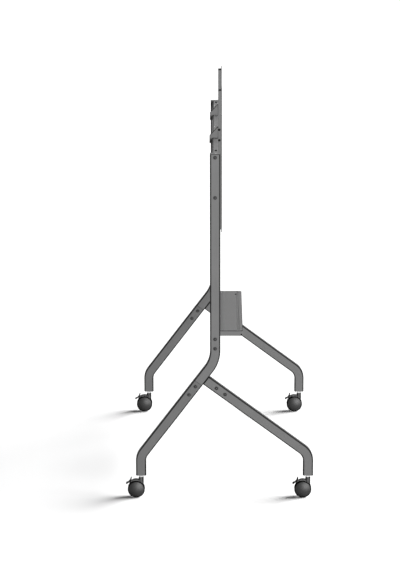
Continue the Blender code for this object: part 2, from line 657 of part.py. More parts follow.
def hook_mesh():
    """Hook that hangs a rail on the top bar: two cheeks under a folded back."""
    front = RAIL_FRONT - max(RAIL_BEND, RAIL_SHEET) - SEAT_GAP
    inside = -BAR_FRONT - SEAT_GAP
    seat = BAR_TOP + SEAT_GAP
    crest = RAIL_BACK - HOOK_FLAT_BEHIND_RAIL
    rear = inside - HOOK_LEG
    corners = [(front, BAR_TOP - HOOK_TONGUE_DROP), (front, BAR_TOP + HOOK_TOP),
               (crest, BAR_TOP + HOOK_TOP), (rear, BAR_TOP + HOOK_SHOULDER),
               (rear, BAR_TOP - HOOK_LEG_DROP), (inside, BAR_TOP - HOOK_LEG_DROP),
               (inside, seat), (RAIL_BACK, seat), (RAIL_BACK, BAR_TOP - HOOK_TONGUE_DROP)]
    soft = HOOK_ROUNDING
    outline = rounded(corners, [0, 0, soft, soft, soft / 2, soft / 2, 0, 0, 0])
    half = RAIL_WIDTH / 2 - RAIL_SHEET - SEAT_GAP
    solid = prism("rail_hook", outline, -half, half)
    slope = atan2(HOOK_TOP - HOOK_SHOULDER, crest - rear)
    lower = HOOK_SHEET / cos(slope)
    room = prism("hook_room", [
        (front + HOOK_SHEET, BAR_TOP - HOOK_TONGUE_DROP - HOOK_SHEET),
        (front + HOOK_SHEET, BAR_TOP + HOOK_TOP - HOOK_SHEET),
        (crest + HOOK_SHEET * tan(slope / 2), BAR_TOP + HOOK_TOP - HOOK_SHEET),
        (rear + HOOK_SHEET, BAR_TOP + HOOK_SHOULDER + HOOK_SHEET * tan(slope) - lower),
        (rear + HOOK_SHEET, BAR_TOP - HOOK_LEG_DROP - HOOK_SHEET)],
        -half + HOOK_SHEET, half - HOOK_SHEET)
    height = BAR_TOP - LOCK_SCREW_HEIGHT
    hole = disc("lock_hole", LOCK_SCREW_RADIUS + RUNNING_GAP, 0, 2 * HOOK_LEG, steps=SMALL_STEPS)
    hole = moved(hole, Matrix.Translation((rear - HOOK_LEG, 0, height))
                 @ Matrix.Rotation(-pi / 2, 4, "Z"))
    return shaped(solid, ("DIFFERENCE", room), ("DIFFERENCE", hole))


def lock_screw_mesh():
    """Set screw through the back of a hook, up against the bar so the rail can't lift off."""
    length = HOOK_LEG - LOCK_SCREW_SUNK
    edge = LOCK_SCREW_RADIUS - LOCK_SCREW_CHAMFER
    profile = [(0, 0), (edge, 0), (LOCK_SCREW_RADIUS, LOCK_SCREW_CHAMFER),
               (LOCK_SCREW_RADIUS, length - LOCK_SCREW_CHAMFER), (edge, length), (0, length)]
    screw = turned("lock_screw", profile, SMALL_STEPS)
    tip = -BAR_FRONT - SEAT_GAP
    return moved(screw, Matrix.Translation((tip, 0, BAR_TOP - LOCK_SCREW_HEIGHT))
                 @ Matrix.Rotation(-pi / 2, 4, "Y"))


# Tray

def tray_mesh():
    """Pressed tray, open below, with a pen groove along its front."""
    back, front = RAIL_BACK, RAIL_BACK + TRAY_REACH
    half = TRAY_LENGTH / 2
    bm = bmesh.new()
    soft = TRAY_CORNER
    outline = rounded([(front, half), (back, half), (back, -half), (front, -half)],
                      [soft, 0, 0, soft])
    base = bm.faces.new([bm.verts.new(along_z(p, TRAY_TOP - TRAY_HEIGHT)) for p in outline])
    grown = bmesh.ops.extrude_face_region(bm, geom=[base])["geom"]
    lid = [item for item in grown if isinstance(item, bmesh.types.BMVert)]
    bmesh.ops.translate(bm, verts=lid, vec=(0, 0, TRAY_HEIGHT))
    rim = [edge for edge in bm.edges if all(vert in lid for vert in edge.verts)
           and max(vert.co.x for vert in edge.verts) > back + SEAT_GAP]
    bmesh.ops.bevel(bm, geom=rim, offset=TRAY_EDGE, segments=3, profile=0.5, affect="EDGES")
    shell = to_mesh("tray", bm)
    sheet = TRAY_SHEET
    middle = front - GROOVE_FROM_FRONT
    wide = GROOVE_WIDTH / 2
    groove_half = half - GROOVE_END_MARGIN
    groove = block("groove", (middle - wide, -groove_half, TRAY_TOP - GROOVE_DEPTH),
                   (middle + wide, groove_half, TRAY_TOP + GROOVE_DEPTH))
    roof = TRAY_TOP - sheet
    low = TRAY_TOP - TRAY_HEIGHT - sheet
    room = prism("tray_room", [
        (back + sheet, low), (front - sheet, low), (front - sheet, roof),
        (middle + wide + sheet, roof), (middle + wide + sheet, roof - GROOVE_DEPTH),
        (middle - wide - sheet, roof - GROOVE_DEPTH), (middle - wide - sheet, roof),
        (back + sheet, roof)], -half + sheet, half - sheet)
    return shaped(shell, ("DIFFERENCE", groove), ("DIFFERENCE", room))


def tray_bracket_mesh():
    """Folded bracket inside the tray: a flange to the rear skirt and an arm under the top."""
    back = RAIL_BACK + TRAY_SHEET + SEAT_GAP
    top = TRAY_TOP - TRAY_SHEET - SEAT_GAP
    bottom = TRAY_TOP - TRAY_HEIGHT + TRAY_SHEET
    sheet = BRACKET_SHEET
    reach = BRACKET_ARM
    corners = [(back, bottom), (back, top), (back + reach, top), (back + reach, top - sheet),
               (back + sheet, top - sheet), (back + sheet, bottom)]
    outline = rounded(corners, [0, 0, 0, 0, sheet / 2, 0])
    return prism("tray_bracket", outline, -BRACKET_WIDTH / 2, BRACKET_WIDTH / 2)


# Assembly

def build_side(side, sign, stand, paint, steel, shapes):
    """One side frame with its cap."""
    plane = marker(f"side_{side}", (0, sign * FRAME_SPACING / 2, 0), stand)
    piece(f"upright_{side}", shapes["upright"], paint, plane)
    piece(f"rear_joiner_{side}", shapes["rear_joiner"], steel, plane)
    piece(f"rear_leg_{side}", shapes["rear_leg"], paint, plane)
    piece(f"front_leg_{side}", shapes["front_leg"], paint, plane)
    piece(f"upright_cap_{side}", shapes["cap"], paint, plane)
    return plane


def build_caster(end, side, plane, steel, plastic, tread, shapes):
    """One braked twin-wheel caster on its foot."""
    place = f"{end}_{side}"
    swivel = marker(f"swivel_axis_{place}", (ENDS[end], 0, 0), plane)
    piece(f"foot_plug_{place}", shapes["foot_plug"], plastic, swivel)
    piece(f"caster_stem_{place}", shapes["stem"], steel, swivel)
    piece(f"caster_hood_{place}", shapes["hood"], plastic, swivel)
    centre = (-CASTER_TRAIL, 0, WHEEL_RADIUS)
    piece(f"caster_axle_{place}", shapes["axle"], steel, swivel, centre)
    for which, way in (("left", 1), ("right", -1)):
        hub = (-CASTER_TRAIL, way * WHEEL_INNER_FACE, WHEEL_RADIUS)
        piece(f"caster_wheel_{place}_{which}", shapes["wheel"], tread, swivel, hub,
              0 if way > 0 else pi)
    piece(f"brake_pedal_{place}", shapes["pedal"], plastic, swivel, (PIVOT_X, 0, PIVOT_Z))


def build_bar(name, height, centre, stand, paint, steel):
    """One cross bar and the blocks in its ends."""
    piece(name, bar_mesh(name, height), paint, stand, (0, 0, centre))
    end_block = end_block_mesh(f"{name}_end_block", height)
    for side, sign in SIDES.items():
        piece(f"{name}_block_{side}", end_block, steel, stand,
              (0, sign * (BAR_LENGTH - END_BLOCK_LENGTH) / 2, centre))


def build_stand():
    """Build the whole stand at rest."""
    clear_scene()
    paint = finish("frame_paint", (0.212, 0.212, 0.212), 0.45, 0.0)
    rail_paint = finish("rail_paint", (0.19, 0.19, 0.19), 0.45, 0.0)
    tray_paint = finish("tray_paint", (0.20, 0.20, 0.20), 0.5, 0.0)
    steel = finish("zinc_steel", (0.62, 0.62, 0.63), 0.3, 1.0)
    black_steel = finish("black_steel", (0.02, 0.02, 0.02), 0.4, 0.0)
    plastic = finish("black_plastic", (0.03, 0.03, 0.03), 0.5, 0.0)
    tread = finish("wheel_rubber", (0.045, 0.045, 0.045), 0.55, 0.0)
    shapes = {
        "upright": upright_mesh(),
        "rear_joiner": rear_joiner_mesh(),
        "rear_leg": leg_mesh("rear_leg", SEAM + REARWARD * SEAT_GAP, REAR_CORNER),
        "front_leg": leg_mesh("front_leg", JOINT + FORWARD * (TUBE_WIDTH / 2 + SEAT_GAP),
                              FRONT_CORNER),
        "cap": cap_mesh(), "foot_plug": foot_plug_mesh(), "stem": stem_mesh(),
        "hood": hood_mesh(), "axle": axle_mesh(), "wheel": wheel_mesh(), "pedal": pedal_mesh(),
    }
    stand = marker("stand", (UPRIGHT_X, 0, 0))
    for side, sign in SIDES.items():
        plane = build_side(side, sign, stand, paint, steel, shapes)
        for end in ENDS:
            build_caster(end, side, plane, steel, plastic, tread, shapes)

    top_centre = BAR_TOP - BAR_HEIGHT / 2
    build_bar("top_bar", BAR_HEIGHT, top_centre, stand, paint, steel)
    build_bar("middle_bar", BAR_HEIGHT, top_centre - MIDDLE_BAR_BELOW, stand, paint, steel)
    build_bar("lower_bar", LOWER_BAR_HEIGHT, LOWER_BAR_CENTRE, stand, paint, steel)

    rail, hook, screw = rail_mesh(), hook_mesh(), lock_screw_mesh()
    plugs = {end: moved(rail_plug_mesh(), Matrix.Translation((0, 0, height)) @ turn)
             for end, height, turn in (
                 ("top", RAIL_TOP - RAIL_FLANGE_INSET, Matrix.Identity(4)),
                 ("bottom", RAIL_BOTTOM + RAIL_FLANGE_INSET, Matrix.Rotation(pi, 4, "X")))}
    for side, sign in SIDES.items():
        slide = marker(f"rail_slide_{side}", (0, sign * RAIL_SPACING / 2, 0), stand)
        piece(f"display_rail_{side}", rail, rail_paint, slide)
        piece(f"rail_hook_{side}", hook, rail_paint, slide)
        piece(f"lock_screw_{side}", screw, black_steel, slide)
        for end, plug in plugs.items():
            piece(f"rail_plug_{end}_{side}", plug, plastic, slide)

    piece("tray", tray_mesh(), tray_paint, stand)
    bracket = tray_bracket_mesh()
    for side, sign in SIDES.items():
        piece(f"tray_bracket_{side}", bracket, tray_paint, stand,
              (0, sign * BRACKET_SPACING / 2, 0))


build_stand()
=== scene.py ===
from math import atan2, cos, pi, radians, sin, sqrt, tan

import bmesh
import bpy
from mathutils import Matrix, Vector


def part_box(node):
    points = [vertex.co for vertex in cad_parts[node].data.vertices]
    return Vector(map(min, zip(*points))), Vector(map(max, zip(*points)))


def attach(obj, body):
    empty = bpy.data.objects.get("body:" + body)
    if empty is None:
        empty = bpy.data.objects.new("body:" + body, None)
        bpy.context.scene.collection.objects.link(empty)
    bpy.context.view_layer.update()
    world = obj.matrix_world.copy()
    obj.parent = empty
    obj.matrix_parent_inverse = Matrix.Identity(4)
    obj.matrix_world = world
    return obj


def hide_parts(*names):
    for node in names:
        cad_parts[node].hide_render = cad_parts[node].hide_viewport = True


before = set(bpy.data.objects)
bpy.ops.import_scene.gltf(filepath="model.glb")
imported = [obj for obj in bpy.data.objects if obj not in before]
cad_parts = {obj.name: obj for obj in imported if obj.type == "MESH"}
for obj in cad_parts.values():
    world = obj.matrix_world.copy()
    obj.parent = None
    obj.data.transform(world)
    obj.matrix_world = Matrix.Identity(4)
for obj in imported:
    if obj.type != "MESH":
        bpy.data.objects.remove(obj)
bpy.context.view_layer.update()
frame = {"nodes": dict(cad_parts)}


# Side frames. Each is a rectangular steel tube bent at the knee, with a rear leg that continues it
# and a front leg square to that one. The legs slip over sleeves and are bolted, and all of it has
# a satin dark grey powder coat.

SIDES = {"left": 1, "right": -1}
FRAME_TONE = 0.200
# Painted shade: the rear legs are a darker copy of the frame's coat, as if less light reached them.
REAR_LEG_SHADED_TONE = 0.176
# Painted shade on corners: how far a face turns along an axis, and the share of the tone left
# there.
PAINTED_EDGE_SHADE = (0.02, 1), (0.10, 0.15), (0.92, 0.15), (0.99, 1)   # facing, share of the tone
TUBE_WIDTH, TUBE_DEPTH, TUBE_WALL, TUBE_CORNER = 0.045, 0.030, 0.002, 0.008
KNEE_HEIGHT, KNEE_RADIUS = 0.626, 0.140
RAKE = radians(36.87)           # of the rear legs
JOINT_DROP = 0.0944             # knee corner to the front leg's line
FOOT_RADIUS = 0.065
SEAM_BELOW_JOINT = 0.006
SEAT_GAP = 0.0003
END_ROUNDING = 0.0009
CORNER_STEPS, BEND_STEPS = 6, 18
SHARP = radians(35)             # a fold of more than this is an edge
ROUND_SEGMENTS = 3              # over a rounded edge
NEAR = 1e-6


class Value:
    """One value in a node tree, which sums and products with others add to the tree."""

    def __init__(self, nodes, socket):
        self.nodes, self.socket = nodes, socket

    def math(self, operation, *values):
        return self.nodes.node("ShaderNodeMath", {"operation": operation},
                               dict(enumerate(values)))

    def __add__(self, other):
        return self.math("ADD", self, other)

    def __radd__(self, other):
        return self.math("ADD", other, self)

    def __sub__(self, other):
        return self.math("SUBTRACT", self, other)

    def __rsub__(self, other):
        return self.math("SUBTRACT", other, self)

    def __mul__(self, other):
        return self.math("MULTIPLY", self, other)

    def __rmul__(self, other):
        return self.math("MULTIPLY", other, self)

    def absolute(self):
        return self.math("ABSOLUTE", self)


class Nodes:
    """The node tree of a material or a world, in the making."""

    def __init__(self, owner):
        owner.use_nodes = True
        self.tree = owner.node_tree

    def node(self, kind, settings, inputs, output=0):
        """Add a node, set it up, feed its sockets and give back one of its outputs."""
        made = self.tree.nodes.new(kind)
        for key, value in settings.items():
            if key == "stops":
                made.color_ramp.elements[0].position = value[0][0]
                made.color_ramp.elements[1].position = value[-1][0]
                for position, _ in value[1:-1]:
                    made.color_ramp.elements.new(position)
                for element, (_, tone) in zip(made.color_ramp.elements, value):
                    element.color = grey(tone)
            else:
                setattr(made, key, value)
        for key, value in inputs.items():
            self.feed(made.inputs[key], value)
        return Value(self, made.outputs[output]) if made.outputs else None

    def feed(self, socket, value):
        if isinstance(value, Value):
            self.tree.links.new(value.socket, socket)
        else:
            socket.default_value = value


class Finish(Nodes):
    """A surface material in the making, with the place that its patterns are read at."""

    def __init__(self, name, **constants):
        self.material = bpy.data.materials.new(name)
        super().__init__(self.material)
        self.shader = self.tree.nodes["Principled BSDF"]
        for socket, value in constants.items():
            self.shader.inputs[socket.replace("_", " ")].default_value = value
        self.place = self.node("ShaderNodeTexCoord", {}, {}, "Object")

    def noise(self, scale, detail, stretch=None):
        """Soft random values, at so many features a metre, stretched or not."""
        place = self.place
        if stretch:
            place = self.node("ShaderNodeMapping", {}, {"Vector": place, "Scale": stretch})
        return self.node("ShaderNodeTexNoise", {}, {"Vector": place, "Scale": scale,
                                                    "Detail": detail})

    def facing(self, axis):
        """How far the surface faces along the piece's own axis: either way, or one with a sign."""
        normal = self.node("ShaderNodeTexCoord", {}, {}, "Normal")
        share = self.node("ShaderNodeSeparateXYZ", {}, {0: normal}, axis[-1])
        return 0.0 - share if axis[0] == "-" else share.absolute()

    def ramp(self, value, *stops):
        return self.node("ShaderNodeValToRGB", {"stops": stops}, {0: value})

    def mix(self, mask, first, second, blend="MIX"):
        """Two colours, mixed by a mask; 6, 7 and 2 are the node's sockets for colours."""
        return self.node("ShaderNodeMix", {"data_type": "RGBA", "blend_type": blend},
                         {0: mask, 6: first, 7: second}, 2)

    def tones(self, mask, low, high):
        """A grey that goes from one tone to another with the mask."""
        return self.mix(mask, grey(low), grey(high))

    def shaded(self, colour, share):
        """What is left of a colour where only a share of it shows."""
        return self.mix(1.0, colour, share, "MULTIPLY")

    def relief(self, height, distance, strength):
        return self.node("ShaderNodeBump", {}, {"Height": height, "Distance": distance,
                                                "Strength": strength})

    def done(self, colour, roughness, normal):
        self.feed(self.shader.inputs["Base Color"], colour)
        self.feed(self.shader.inputs["Roughness"], roughness)
        self.feed(self.shader.inputs["Normal"], normal)
        return self.material


def grey(tone):
    return (tone, tone, tone, 1)


def powder_coat(name, tone, across="Y", edges=PAINTED_EDGE_SHADE):
    """Matt powder coat: fine orange peel, a faint cloudiness, specks, and painted corner shade.

    The corners are those that run square to the axis named."""
    coat = Finish(name, Specular_IOR_Level=0.02)
    clouds = coat.noise(9, 3)
    specks = coat.ramp(coat.noise(1400, 1), (0.62, 0), (0.72, 1))
    peel = coat.noise(620, 2) + coat.noise(2300, 1) * 0.4
    paint = coat.tones(clouds * 0.75 + specks * 0.25, tone * 0.9, tone * 1.12)
    # Painted shade: corners that turn part way from the faces are darkened, as if light fell off on
    # them.
    corners = coat.ramp(coat.facing(across), *edges)
    return coat.done(coat.shaded(paint, corners), 0.47 + clouds * 0.1,
                     coat.relief(peel, 0.00012, 0.5))


def start(operator, name, **settings):
    """Add a primitive with nothing else selected, and open it in edit mode on its points."""
    if bpy.context.object and bpy.context.object.mode != "OBJECT":
        bpy.ops.object.mode_set(mode="OBJECT")
    bpy.ops.object.select_all(action="DESELECT")
    operator(**settings)
    item = bpy.context.object
    item.name = item.data.name = name
    bpy.ops.object.transform_apply(location=True, rotation=True, scale=True)
    bpy.context.tool_settings.mesh_select_mode = (True, False, False)
    bpy.ops.object.mode_set(mode="EDIT")
    return item


def select(item, kind, test):
    """In edit mode, select only the verts, edges or faces that pass a test."""
    bpy.context.tool_settings.mesh_select_mode = [kind == k for k in ("verts", "edges", "faces")]
    bpy.ops.mesh.select_all(action="DESELECT")
    mesh = bmesh.from_edit_mesh(item.data)
    for element in getattr(mesh, kind):
        if test(element):
            element.select_set(True)
    mesh.select_flush_mode()
    bmesh.update_edit_mesh(item.data)


def extrude(direction):
    bpy.ops.mesh.extrude_region_move(TRANSFORM_OT_translate={"value": direction})


def apply_modifier(item, kind, **settings):
    """Add a modifier to a piece and apply it."""
    change = item.modifiers.new(kind, kind)
    for key, value in settings.items():
        setattr(change, key, value)
    bpy.context.view_layer.objects.active = item
    bpy.ops.object.modifier_apply(modifier=change.name)


def close(item, material, flats=False):
    """Leave edit mode, shade the piece, with its flats kept flat or not, and give its material."""
    bpy.ops.object.mode_set(mode="OBJECT")
    bpy.ops.object.shade_smooth_by_angle(angle=SHARP)
    if flats:
        apply_modifier(item, "WEIGHTED_NORMAL", weight=100, keep_sharp=True)
    item.data.materials.clear()
    item.data.materials.append(material)
    return item


def copy(item, name, place, body):
    """A copy with its own mesh, put in place, which rides on a body."""
    made = bpy.data.objects.new(name, item.data.copy())
    made.data.name = name
    made.data.transform(place)
    bpy.context.scene.collection.objects.link(made)
    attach(made, body)
    return made


def discard(*items):
    for item in items:
        bpy.data.objects.remove(item, do_unlink=True)


def bent_tube(name, head, corner, tail, radius, material):
    """A tube in two straight runs, drawn round a bend, with softened ends."""
    coming, going = (corner - head).normalized(), (tail - corner).normalized()
    turn = coming.angle(going)
    setback = radius * tan(turn / 2)
    inwards = (going - coming * going.dot(coming)).normalized()
    centre = corner - coming * setback + inwards * radius
    item = start(bpy.ops.mesh.primitive_plane_add, name, size=1)
    bpy.ops.transform.resize(value=(TUBE_WIDTH, TUBE_DEPTH, 1))
    bpy.ops.mesh.bevel(offset=TUBE_CORNER, offset_type="OFFSET", segments=CORNER_STEPS,
                       affect="VERTICES")
    bpy.ops.mesh.select_all(action="SELECT")
    bpy.ops.transform.rotate(value=atan2(coming.x, -coming.z), orient_axis="Y",
                             center_override=(0, 0, 0))
    bpy.ops.transform.translate(value=head)
    extrude(corner - coming * setback - head)
    bpy.ops.mesh.spin(steps=BEND_STEPS, angle=turn, center=centre,
                      axis=-coming.cross(going).normalized())
    extrude(tail - corner - going * setback)
    select(item, "faces", lambda face: len(face.verts) > 4)
    bpy.ops.mesh.delete(type="FACE")
    bpy.ops.mesh.select_all(action="SELECT")
    bpy.ops.mesh.normals_make_consistent(inside=False)
    bpy.ops.object.mode_set(mode="OBJECT")
    apply_modifier(item, "SOLIDIFY", thickness=TUBE_WALL, offset=-1, use_even_offset=True)
    bpy.ops.object.mode_set(mode="EDIT")

    def outer_rim(edge):
        """Whether an edge is a fold between an end and a side that faces away from the middle."""
        for place, out in ((head, -coming), (tail, going)):
            spokes = [vert.co - place for vert in edge.verts]
            if all(abs(spoke.dot(out)) < 10 * NEAR for spoke in spokes):
                return edge.calc_face_angle(0) > SHARP and any(
                    abs(face.normal.dot(out)) < 0.5 and face.normal.dot(spokes[0]) > 0
                    for face in edge.link_faces)
        return False
    select(item, "edges", outer_rim)
    bpy.ops.mesh.bevel(offset=END_ROUNDING, segments=ROUND_SEGMENTS, affect="EDGES")
    return close(item, material, flats=True)


def foot_middle(name):
    low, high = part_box(name)
    return (low.x + TUBE_WIDTH / 2 if "rear" in name else high.x - TUBE_WIDTH / 2), low.z


cap_low, cap_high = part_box("upright_cap_left")
FRAME_Y = (cap_low.y + cap_high.y) / 2
UPRIGHT_X = (cap_low.x + cap_high.x) / 2
UPRIGHT_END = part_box("upright_left")[1].z
REARWARD = Vector((-sin(RAKE), 0, -cos(RAKE)))
FORWARD = Vector((cos(RAKE), 0, -sin(RAKE)))
KNEE = Vector((UPRIGHT_X, 0, KNEE_HEIGHT))
JOINT = KNEE + REARWARD * JOINT_DROP
SEAM = JOINT + REARWARD * (TUBE_WIDTH / 2 + SEAM_BELOW_JOINT)
rear_x, foot_z = foot_middle("rear_leg_left")
front_x, _ = foot_middle("front_leg_left")
rear_corner = KNEE + REARWARD * ((UPRIGHT_X - rear_x) / sin(RAKE))
front_corner = JOINT + FORWARD * ((front_x - JOINT.x) / cos(RAKE))

# Both coats darken the tubes' corners with painted shade; the rear legs' coat is also darker all
# over as painted shade.
frame_paint = powder_coat("frame_powder_coat", FRAME_TONE)
shaded_leg_paint = powder_coat("shaded_leg_powder_coat", REAR_LEG_SHADED_TONE)
shapes = {
    "upright": bent_tube("upright_shape", Vector((UPRIGHT_X, 0, UPRIGHT_END)), KNEE, SEAM,
                         KNEE_RADIUS, frame_paint),
    "rear_leg": bent_tube("rear_leg_shape", SEAM + REARWARD * SEAT_GAP, rear_corner,
                          Vector((rear_x, 0, foot_z)), FOOT_RADIUS, shaded_leg_paint),
    "front_leg": bent_tube("front_leg_shape", JOINT + FORWARD * (TUBE_WIDTH / 2 + SEAT_GAP),
                           front_corner, Vector((front_x, 0, foot_z)), FOOT_RADIUS, frame_paint),
}
for part, shape in shapes.items():
    for side, sign in SIDES.items():
        tube = copy(shape, f"{part}_tube_{side}", Matrix.Translation((0, sign * FRAME_Y, 0)),
                    "stand")
        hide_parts(f"{part}_{side}")
discard(*shapes.values())


# Frame bolts. Grey button-head screws with a hexagon socket, each on a thin dark washer. They
# hold the cross bars to the uprights, and the legs to the sleeves inside them from both faces.

SCREW_STEPS = 32
SCREW_RIM = 0.35                # height of a head's upright rim, as a share of the head
CROWN_STEPS, CROWN_DRAWN = 9, 7
WASHER_RADIUS, WASHER_HEIGHT, WASHER_BORE = 0.0086, 0.0012, 0.0034
WASHER_EDGE, WASHER_ROUNDING = 0.0006, 0.0005
LOWER_BAR_BOLTS = 0.7255, 0.683     # height of each
REAR_LEG_BOLTS = 0.143, 0.190       # from the knee
FRONT_LEG_BOLTS = 0.078, 0.125      # from the joint


def middle_of(name):
    low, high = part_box(name)
    return (low + high) / 2


def turned(name, profile, steps, material):
    """A round piece: an outline of radius and height, drawn point by point and spun about Z."""
    first, last = Vector(profile[0]), Vector(profile[-1])
    item = start(bpy.ops.mesh.primitive_plane_add, name, size=0.001,
                 location=(first.x, 0, first.y))
    bpy.ops.mesh.merge(type="CENTER")
    for (radius, height), (next_radius, next_height) in zip(profile, profile[1:]):
        extrude((next_radius - radius, 0, next_height - height))
    if first.x > 0:
        select(item, "verts", lambda vert: (vert.co.xz - first).length < NEAR
               or (vert.co.xz - last).length < NEAR)
        bpy.ops.mesh.edge_face_add()
    bpy.ops.mesh.select_all(action="SELECT")
    bpy.ops.mesh.spin(steps=steps, angle=2 * pi, center=(0, 0, 0), axis=(0, 0, 1))
    bpy.ops.mesh.select_all(action="SELECT")
    bpy.ops.mesh.remove_doubles(threshold=NEAR)
    bpy.ops.mesh.normals_make_consistent(inside=False)
    return close(item, material)


def curve(radius, low, high, steps, x, y):
    """Points of an outline along an arc round x and y, from one angle in degrees to another."""
    angles = [radians(low + (high - low) * step / steps) for step in range(steps + 1)]
    return [(x + radius * cos(angle), y + radius * sin(angle)) for angle in angles]


def carve(item, tool):
    """Cut a tool out of a piece."""
    apply_modifier(item, "BOOLEAN", operation="DIFFERENCE", solver="EXACT", object=tool)
    discard(tool)


def button_screw(name, radius, height, socket, material):
    """A button head on Z = 0, domed, with a hexagon socket."""
    rim = SCREW_RIM * height
    crown = []
    for step in range(CROWN_DRAWN):
        share = 1 - step / CROWN_STEPS
        crown.append((radius * share, rim + (height - rim) * (1 - share ** 2)))
    head = turned(name, [(0, 0), (radius, 0), *crown, (0, crown[-1][1])], SCREW_STEPS, material)
    tool = start(bpy.ops.mesh.primitive_cylinder_add, "socket", vertices=6,
                 radius=socket / 2 / cos(pi / 6), depth=2 * height,
                 location=(0, 0, height * (1 + SCREW_RIM)))
    bpy.ops.object.mode_set(mode="OBJECT")
    carve(head, tool)
    head.data.materials.clear()
    head.data.materials.append(material)
    return head


def dark_steel(name, low, high):
    """Black oxide on a machined screw or a stamped washer: dark, a little rubbed."""
    steel = Finish(name, Specular_IOR_Level=0.1)
    rub = steel.noise(260, 3)
    return steel.done(steel.tones(rub, low, high), 0.42 + rub * 0.18,
                      steel.relief(steel.noise(2600, 1), 0.00004, 0.4))


def sideways(spot, out):
    """The place of a piece made on Z = 0, when it is put at a spot to face +Y or -Y."""
    return Matrix.Translation(spot) @ Matrix.Rotation(-out * pi / 2, 4, "X")


washer = turned("washer_shape", [
    (WASHER_BORE, 0), (WASHER_RADIUS, 0),
    *curve(WASHER_ROUNDING, 0, 90, ROUND_SEGMENTS, WASHER_RADIUS - WASHER_ROUNDING, WASHER_EDGE),
    (WASHER_BORE, WASHER_HEIGHT)], SCREW_STEPS, dark_steel("washer_steel", 0.07, 0.10))
# The heads take the frame's coat, so its painted corner shade darkens the slope of each dome.
frame_screw = button_screw("frame_screw_shape", radius=0.0056, height=0.0032, socket=0.0032,
                           material=frame_paint)
bolts = []
for name, height in (("top_bar", middle_of("top_bar").z), ("middle_bar", middle_of("middle_bar").z),
                     *zip(("lower_bar_high", "lower_bar_low"), LOWER_BAR_BOLTS)):
    bolts.append((name, Vector((UPRIGHT_X, 0, height)), ("outer",)))
for name, root, heading, steps in (("rear_leg", KNEE, REARWARD, REAR_LEG_BOLTS),
                                   ("front_leg", JOINT, FORWARD, FRONT_LEG_BOLTS)):
    for which, step in zip(("high", "low"), steps):
        bolts.append((f"{name}_{which}", root + heading * step, ("outer", "inner")))
for name, place, faces in bolts:
    for side, sign in SIDES.items():
        for face in faces:
            out = sign if face == "outer" else -sign
            spot = place + Vector((0, sign * FRAME_Y + out * TUBE_DEPTH / 2, 0))
            seat = spot + Vector((0, out * WASHER_HEIGHT, 0))
            tag = f"{name}_{side}_{face}"
            copy(washer, f"washer_{tag}", sideways(spot, out), "stand")
            copy(frame_screw, f"screw_{tag}", sideways(seat, out), "stand")
discard(washer, frame_screw)


# Caps and plugs. A lid in the frame's grey is pressed into the top of each upright, and a bored
# plug of black moulded plastic into the end of each leg.

FEET = [f"{end}_{side}" for end in ("front", "rear") for side in SIDES]
FLAT = radians(0.5)             # faces that fold by less than this are one
PLUG_EDGE, CAP_EDGE = 0.0005, 0.0003
CAP_TONE = 0.190
nodes = frame["nodes"]


def moulded_plastic(name, tone, gloss, edges=None):
    """Moulded plastic, spark-eroded fine grain; painted shade on its edges if tones are given."""
    plastic = Finish(name, Specular_IOR_Level=0.1)
    drift = plastic.noise(35, 2)
    colour = plastic.tones(drift, tone * 0.82, tone * 1.2)
    # Painted shade: where given, faces turned away from the piece's Y axis are darkened to these
    # shares.
    if edges:
        colour = plastic.shaded(colour, plastic.ramp(plastic.facing("Y"), *edges))
    return plastic.done(colour, gloss + drift * 0.12,
                        plastic.relief(plastic.noise(1700, 2), 0.00006, 0.6))


def softened(names, bodies, width, material):
    """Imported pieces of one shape, with their edges rounded as a tool or a press leaves them."""
    shape = bpy.data.objects.new("softened_shape", nodes[names[0]].data.copy())
    bpy.context.scene.collection.objects.link(shape)
    bpy.ops.object.select_all(action="DESELECT")
    shape.select_set(True)
    bpy.context.view_layer.objects.active = shape
    bpy.ops.object.mode_set(mode="EDIT")
    bpy.ops.mesh.select_all(action="SELECT")
    bpy.ops.mesh.remove_doubles(threshold=NEAR)
    bpy.ops.mesh.dissolve_limited(angle_limit=FLAT)
    bpy.ops.object.mode_set(mode="OBJECT")
    apply_modifier(shape, "BEVEL", width=width, segments=ROUND_SEGMENTS, limit_method="ANGLE",
                   angle_limit=SHARP, miter_outer="MITER_ARC")
    close(shape, material, flats=True)
    made = []
    for name, body in zip(names, bodies):
        place = Matrix.Translation(middle_of(name) - middle_of(names[0]))
        piece = copy(shape, f"{name}_finish", place, body)
        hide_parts(name)
        made.append(piece)
    discard(shape)
    return made


black_plastic = moulded_plastic("black_plastic_grain", tone=0.004, gloss=0.5)
softened([f"foot_plug_{foot}" for foot in FEET], ["stand"] * 4, PLUG_EDGE,
         black_plastic)
# The caps' coat darkens their corners with painted shade.
softened([f"upright_cap_{side}" for side in SIDES], ["stand"] * 2, CAP_EDGE,
         powder_coat("cap_paint", CAP_TONE, "Z"))


# Cross bars. Rectangular steel tubes with the same powder coat, bolted between the uprights into
# zinc plated blocks in their ends. Zinc plated sleeves join the legs. A black screw stands near
# each end of the top bar.

BARS = ("top_bar", "middle_bar", "lower_bar")
BAR_EDGE = 0.0004
BAR_SCREW_INSET = 0.040         # from the bar's end
BAR_SCREW_FORWARD = 0.003       # of the bar's middle


def zinc_plate():
    """Bright zinc plating with drawn lines and a soft haze."""
    plate = Finish("zinc_plate", Metallic=1.0)
    haze = plate.noise(60, 3)
    lines = plate.noise(900, 1, (1, 1, 0.06))
    return plate.done(plate.tones(haze, 0.5, 0.72), 0.24 + haze * 0.16,
                      plate.relief(lines, 0.00003, 0.4))


def dress(names, material):
    """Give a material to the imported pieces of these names."""
    for name in names:
        nodes[name].data.materials[0] = material


zinc = zinc_plate()
